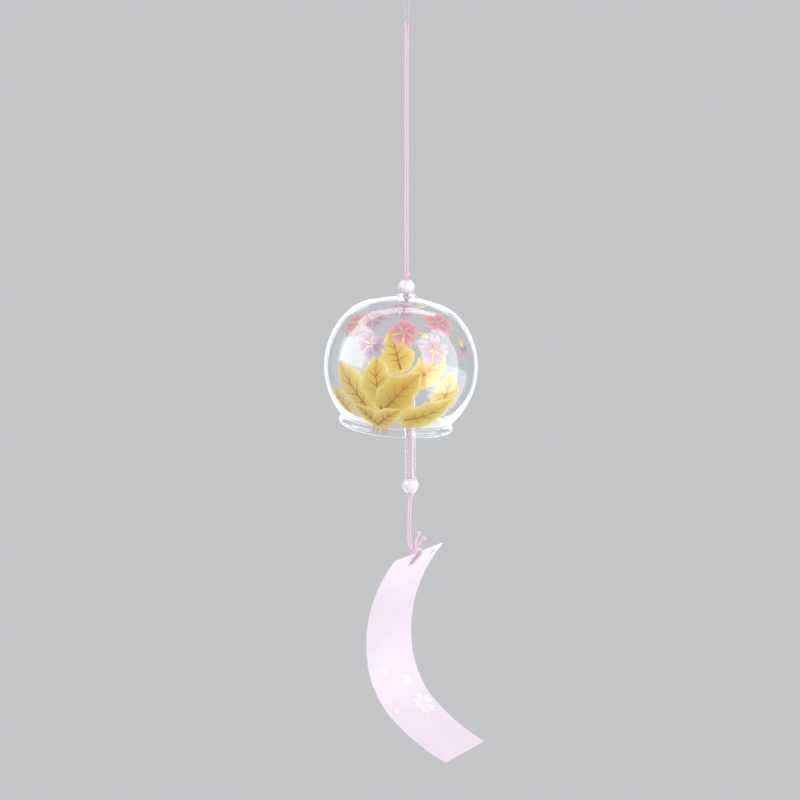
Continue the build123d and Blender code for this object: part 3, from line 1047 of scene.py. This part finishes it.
# Number, azimuth, elevation, heading, length, width, bend, notch, waves, phase, stalk, layer,
# material
LEAVES = (
    (1, -26.0, -23.5, -48.0, 29.0, 20.0, 0.05, 0.2, 0.07, 0.1, 6.5, 0, LEAF_PALE),
    (2, -15.5, -12.5, -8.0, 20.5, 18.5, -0.04, 0.24, 0.09, 0.6, 9.0, 1, LEAF_GOLD),
    (3, -2.5, 13.0, -24.0, 17.5, 17.0, 0.03, 0.28, 0.09, 0.3, 3.0, 0, LEAF_GOLD),
    (4, -8.5, -19.5, 44.0, 24.5, 18.5, -0.05, 0.24, 0.08, 0.8, 4.0, 2, LEAF_DEEP),
    (5, 14.0, 4.0, 38.0, 20.0, 15.5, 0.06, 0.26, 0.08, 0.2, 3.0, 0, LEAF_GOLD),
    (6, 34.0, -17.0, 10.0, 18.0, 17.0, 0.05, 0.26, 0.09, 0.5, 3.0, 1, LEAF_PALE),
    (7, 9.5, -30.5, 66.0, 24.5, 16.5, 0.06, 0.22, 0.08, 0.9, 2.5, 2, LEAF_GOLD),
    (8, -46.5, -30.5, -40.0, 15.0, 17.0, -0.05, 0.28, 0.08, 0.4, 2.0, 1, LEAF_PALE),
    (9, -18.0, -38.6, -54.0, 15.2, 12.0, 0.08, 0.12, 0.06, 0.0, 1.0, 3, LEAF_GOLD),
    (10, -17.5, -38.6, 54.0, 16.6, 12.0, -0.08, 0.12, 0.06, 0.5, 1.0, 3, LEAF_GOLD),
)
for row in LEAVES:
    leaf(*row)

# Each stem's place across, top, bottom and sway
STEMS = (
    (-3.6, 3.5, -4.2, 0.1), (-1.2, 4.0, -4.5, 0.0), (1.4, 4.2, -4.7, 0.1), (3.8, 3.0, -4.5, -0.1),
)
stems = Figure()
for x, top, bottom, sway in STEMS:
    line = [(x + sway * t, mix(top, bottom, t / 6)) for t in range(7)]
    stems.stroke(line, 0.8, 1.0)
paint_layer("leaf_stems", stems, on_bell(-17.0, -40.5, 0.0), 0, STEM_BROWN)


def bud(number, azimuth, elevation, heading, length, petals):
    """A bud: a small yellow calyx and, where it opens, the tips of its petals."""
    surface = on_bell(azimuth, elevation, heading)

    def pod(u, w):
        return (w * 0.3 * length * math.sin(math.pi * (0.08 + 0.9 * u)) ** 0.8, length * (u - 0.5))

    paint_layer(f"bud_{number}", Figure().grid(8, 10, pod), surface, 2, BUD_YELLOW)
    if petals:
        tips = Figure()
        for shift, lean in ((-0.35, -0.25), (0.0, 0.0), (0.35, 0.3)):
            def tip(u, w, shift=shift, lean=lean):
                half = 0.24 * length * math.sin(math.pi * (0.1 + 0.8 * u)) ** 0.7
                y = length * (0.2 + 1.25 * u * (1 - 0.12 * (1 - abs(w)) * u))
                return (shift * length * (0.4 + 0.6 * u) + lean * length * u * 0.5 + w * half, y)
            tips.grid(6, 8, tip)
        paint_layer(f"bud_{number}_petals", tips, surface, 1, MAUVE)


bud(1, 56.0, 28.0, 170.0, 5.6, True)
bud(2, 29.0, 66.0, 80.0, 5.6, False)
bud(3, 18.0, 35.5, 130.0, 4.6, False)
twig = Figure().stroke([(0.0, 0.0), (0.7, 3.4), (1.6, 7.0), (2.9, 10.6), (3.4, 12.6)], 0.4, 0.55)
paint_layer("bud_twig", twig, on_bell(8.5, 19.0, 8.0), 0, STEM_BROWN)

# Faint white blossoms on the card

CARD_PRINT_LOW, CARD_PRINT_HIGH = 0.012, 0.024


def card_blossom(number, across, drop, turn, length, petals):
    """A small blossom printed on the card's front."""
    figure = Figure()
    for k in range(petals):
        angle = math.radians(turn + PETAL_STEP * k)
        c, s = math.cos(angle), math.sin(angle)

        def place(u, w, c=c, s=s):
            notch = 0.24 * max(0.0, 1 - abs(w) / 0.42) ** 1.2
            corner = 0.26 * max(0.0, (abs(w) - 0.5) / 0.5) ** 2
            along = length * (0.1 + 0.9 * u * (1 - notch * u - corner * u))
            half = 0.36 * length * (0.1 + 0.9 * math.sin(math.pi / 2 * min(1.0, u / 0.8)) ** 1.15)
            x, y = w * half, along
            return (x * c + y * s, -x * s + y * c)

        figure.grid(8, 8, place)
    half = STRIP_THICK / 2
    paint(f"card_blossom_{number}", figure,
          lambda x, y, lift: strip_point(across + x, drop - y, lift),
          half + CARD_PRINT_LOW, half + CARD_PRINT_HIGH, WHITE_PRINT, "paper")


# Number, place across, place down, turn, petal length, petals
CARD_BLOSSOMS = (
    (1, -6.0, 78.0, 15.0, 2.6, 5), (2, 8.0, 88.0, 40.0, 3.0, 5),
    (3, 10.0, 104.0, 5.0, 7.0, 5), (4, -12.0, 100.0, 60.0, 2.0, 4),
)
for row in CARD_BLOSSOMS:
    card_blossom(*row)

# The part's own nodes that stay: the tube and the two beads

KEPT_NODES = (
    ("clapper_tube", TUBE_GLASS, "tube_glass"), ("top_bead", FROSTED, "bead"),
    ("lower_bead", FROSTED, "bead"),
)
for name, material, slot_name in KEPT_NODES:
    node = nodes_by_name[name]
    for slot in node.material_slots:
        slot.material = material
    if not node.material_slots:
        node.data.materials.append(material)

# Floor, backdrop and light

BACKDROP = (0.56, 0.567, 0.582, 1.0)
FLOOR = (0.647, 0.655, 0.672, 1.0)
FLOOR_REACH_M, FLOOR_HEIGHT_M = 30, -2.0
WORLD_STRENGTH = 0.62

floor_corners = [
    (x * FLOOR_REACH_M, y * FLOOR_REACH_M, FLOOR_HEIGHT_M)
    for x, y in ((-1, -1), (1, -1), (1, 1), (-1, 1))
]
floor_mesh = bpy.data.meshes.new("floor")
floor_mesh.from_pydata(floor_corners, [], [(0, 1, 2, 3)])
floor = link(bpy.data.objects.new("floor", floor_mesh))
floor_nodes = Nodes("pale_floor")
floor_nodes.set(Base_Color=FLOOR, Roughness=1.0, Specular_IOR_Level=0.0)
floor_mesh.materials.append(floor_nodes.material)

world = bpy.data.worlds.new("studio")
world.use_nodes = True
scene.world = world
tree = world.node_tree
background = tree.nodes["Background"]
background.inputs["Color"].default_value = (1.0, 1.0, 1.0, 1.0)
background.inputs["Strength"].default_value = WORLD_STRENGTH
backdrop = tree.nodes.new("ShaderNodeBackground")
backdrop.inputs["Color"].default_value = BACKDROP
backdrop.inputs["Strength"].default_value = 1.0
path = tree.nodes.new("ShaderNodeLightPath")
either = tree.nodes.new("ShaderNodeMath")
either.operation = "MAXIMUM"
any_of_three = tree.nodes.new("ShaderNodeMath")
any_of_three.operation = "MAXIMUM"
blend_shader = tree.nodes.new("ShaderNodeMixShader")
tree.links.new(path.outputs["Is Camera Ray"], either.inputs[0])
tree.links.new(path.outputs["Is Glossy Ray"], either.inputs[1])
tree.links.new(either.outputs[0], any_of_three.inputs[0])
tree.links.new(path.outputs["Is Transmission Ray"], any_of_three.inputs[1])
tree.links.new(any_of_three.outputs[0], blend_shader.inputs[0])
tree.links.new(background.outputs[0], blend_shader.inputs[1])
tree.links.new(backdrop.outputs[0], blend_shader.inputs[2])
tree.links.new(blend_shader.outputs[0], tree.nodes["World Output"].inputs["Surface"])


def soft_sun(name, direction, energy, angle):
    """A far soft lamp, as even as a large studio light, seen neither in gloss nor through glass."""
    data = bpy.data.lights.new(name, "SUN")
    data.energy, data.angle = energy, math.radians(angle)
    lamp = link(bpy.data.objects.new(name, data))
    lamp.rotation_euler = Vector(direction).to_track_quat("Z", "Y").to_euler()
    lamp.visible_glossy = False
    lamp.visible_transmission = False


soft_sun("key", (0.62, -0.75, 0.25), 1.3, 30.0)
soft_sun("fill", (-0.8, -0.5, 0.4), 0.5, 40.0)
soft_sun("back_fill", (0.1, 0.9, 0.3), 0.75, 40.0)

BELL_MIDDLE = Vector((-2.9, 0.0, -195.0)) * MM


def softbox(name, direction, distance, wide, high, radiance):
    """A window of light near the bell, in metres, that only shows in gloss."""
    data = bpy.data.lights.new(name, "AREA")
    data.shape = "RECTANGLE"
    data.size, data.size_y = wide, high
    data.energy = radiance * math.pi * wide * high
    lamp = link(bpy.data.objects.new(name, data))
    way = Vector(direction).normalized()
    lamp.location = BELL_MIDDLE + way * distance
    lamp.rotation_euler = way.to_track_quat("Z", "Y").to_euler()
    lamp.visible_diffuse = False
    lamp.visible_camera = False
    lamp.visible_transmission = False


# Name, direction, distance, width, height, radiance
SOFTBOXES = (
    ("window_left", (-0.875, -0.124, 0.468), 1.3, 1.15, 1.15, 4.6),
    ("window_right", (0.888, -0.414, 0.198), 1.3, 1.5, 2.2, 4.6),
    ("rim_left", (-0.37, 0.93, -0.22), 1.25, 0.78, 1.15, 1.3),
    ("rim_right", (0.37, 0.93, -0.22), 1.25, 0.66, 1.15, 1.3),
    ("rim_top", (-0.08, 0.95, 0.3), 1.25, 1.0, 0.3, 1.8),
    ("rim_crown", (-0.15, 0.5, 0.8), 1.25, 1.7, 0.35, 3.6),
    ("rim_low", (0.0, 0.6, -0.8), 1.25, 1.8, 1.2, 3.2),
)
for row in SOFTBOXES:
    softbox(*row)
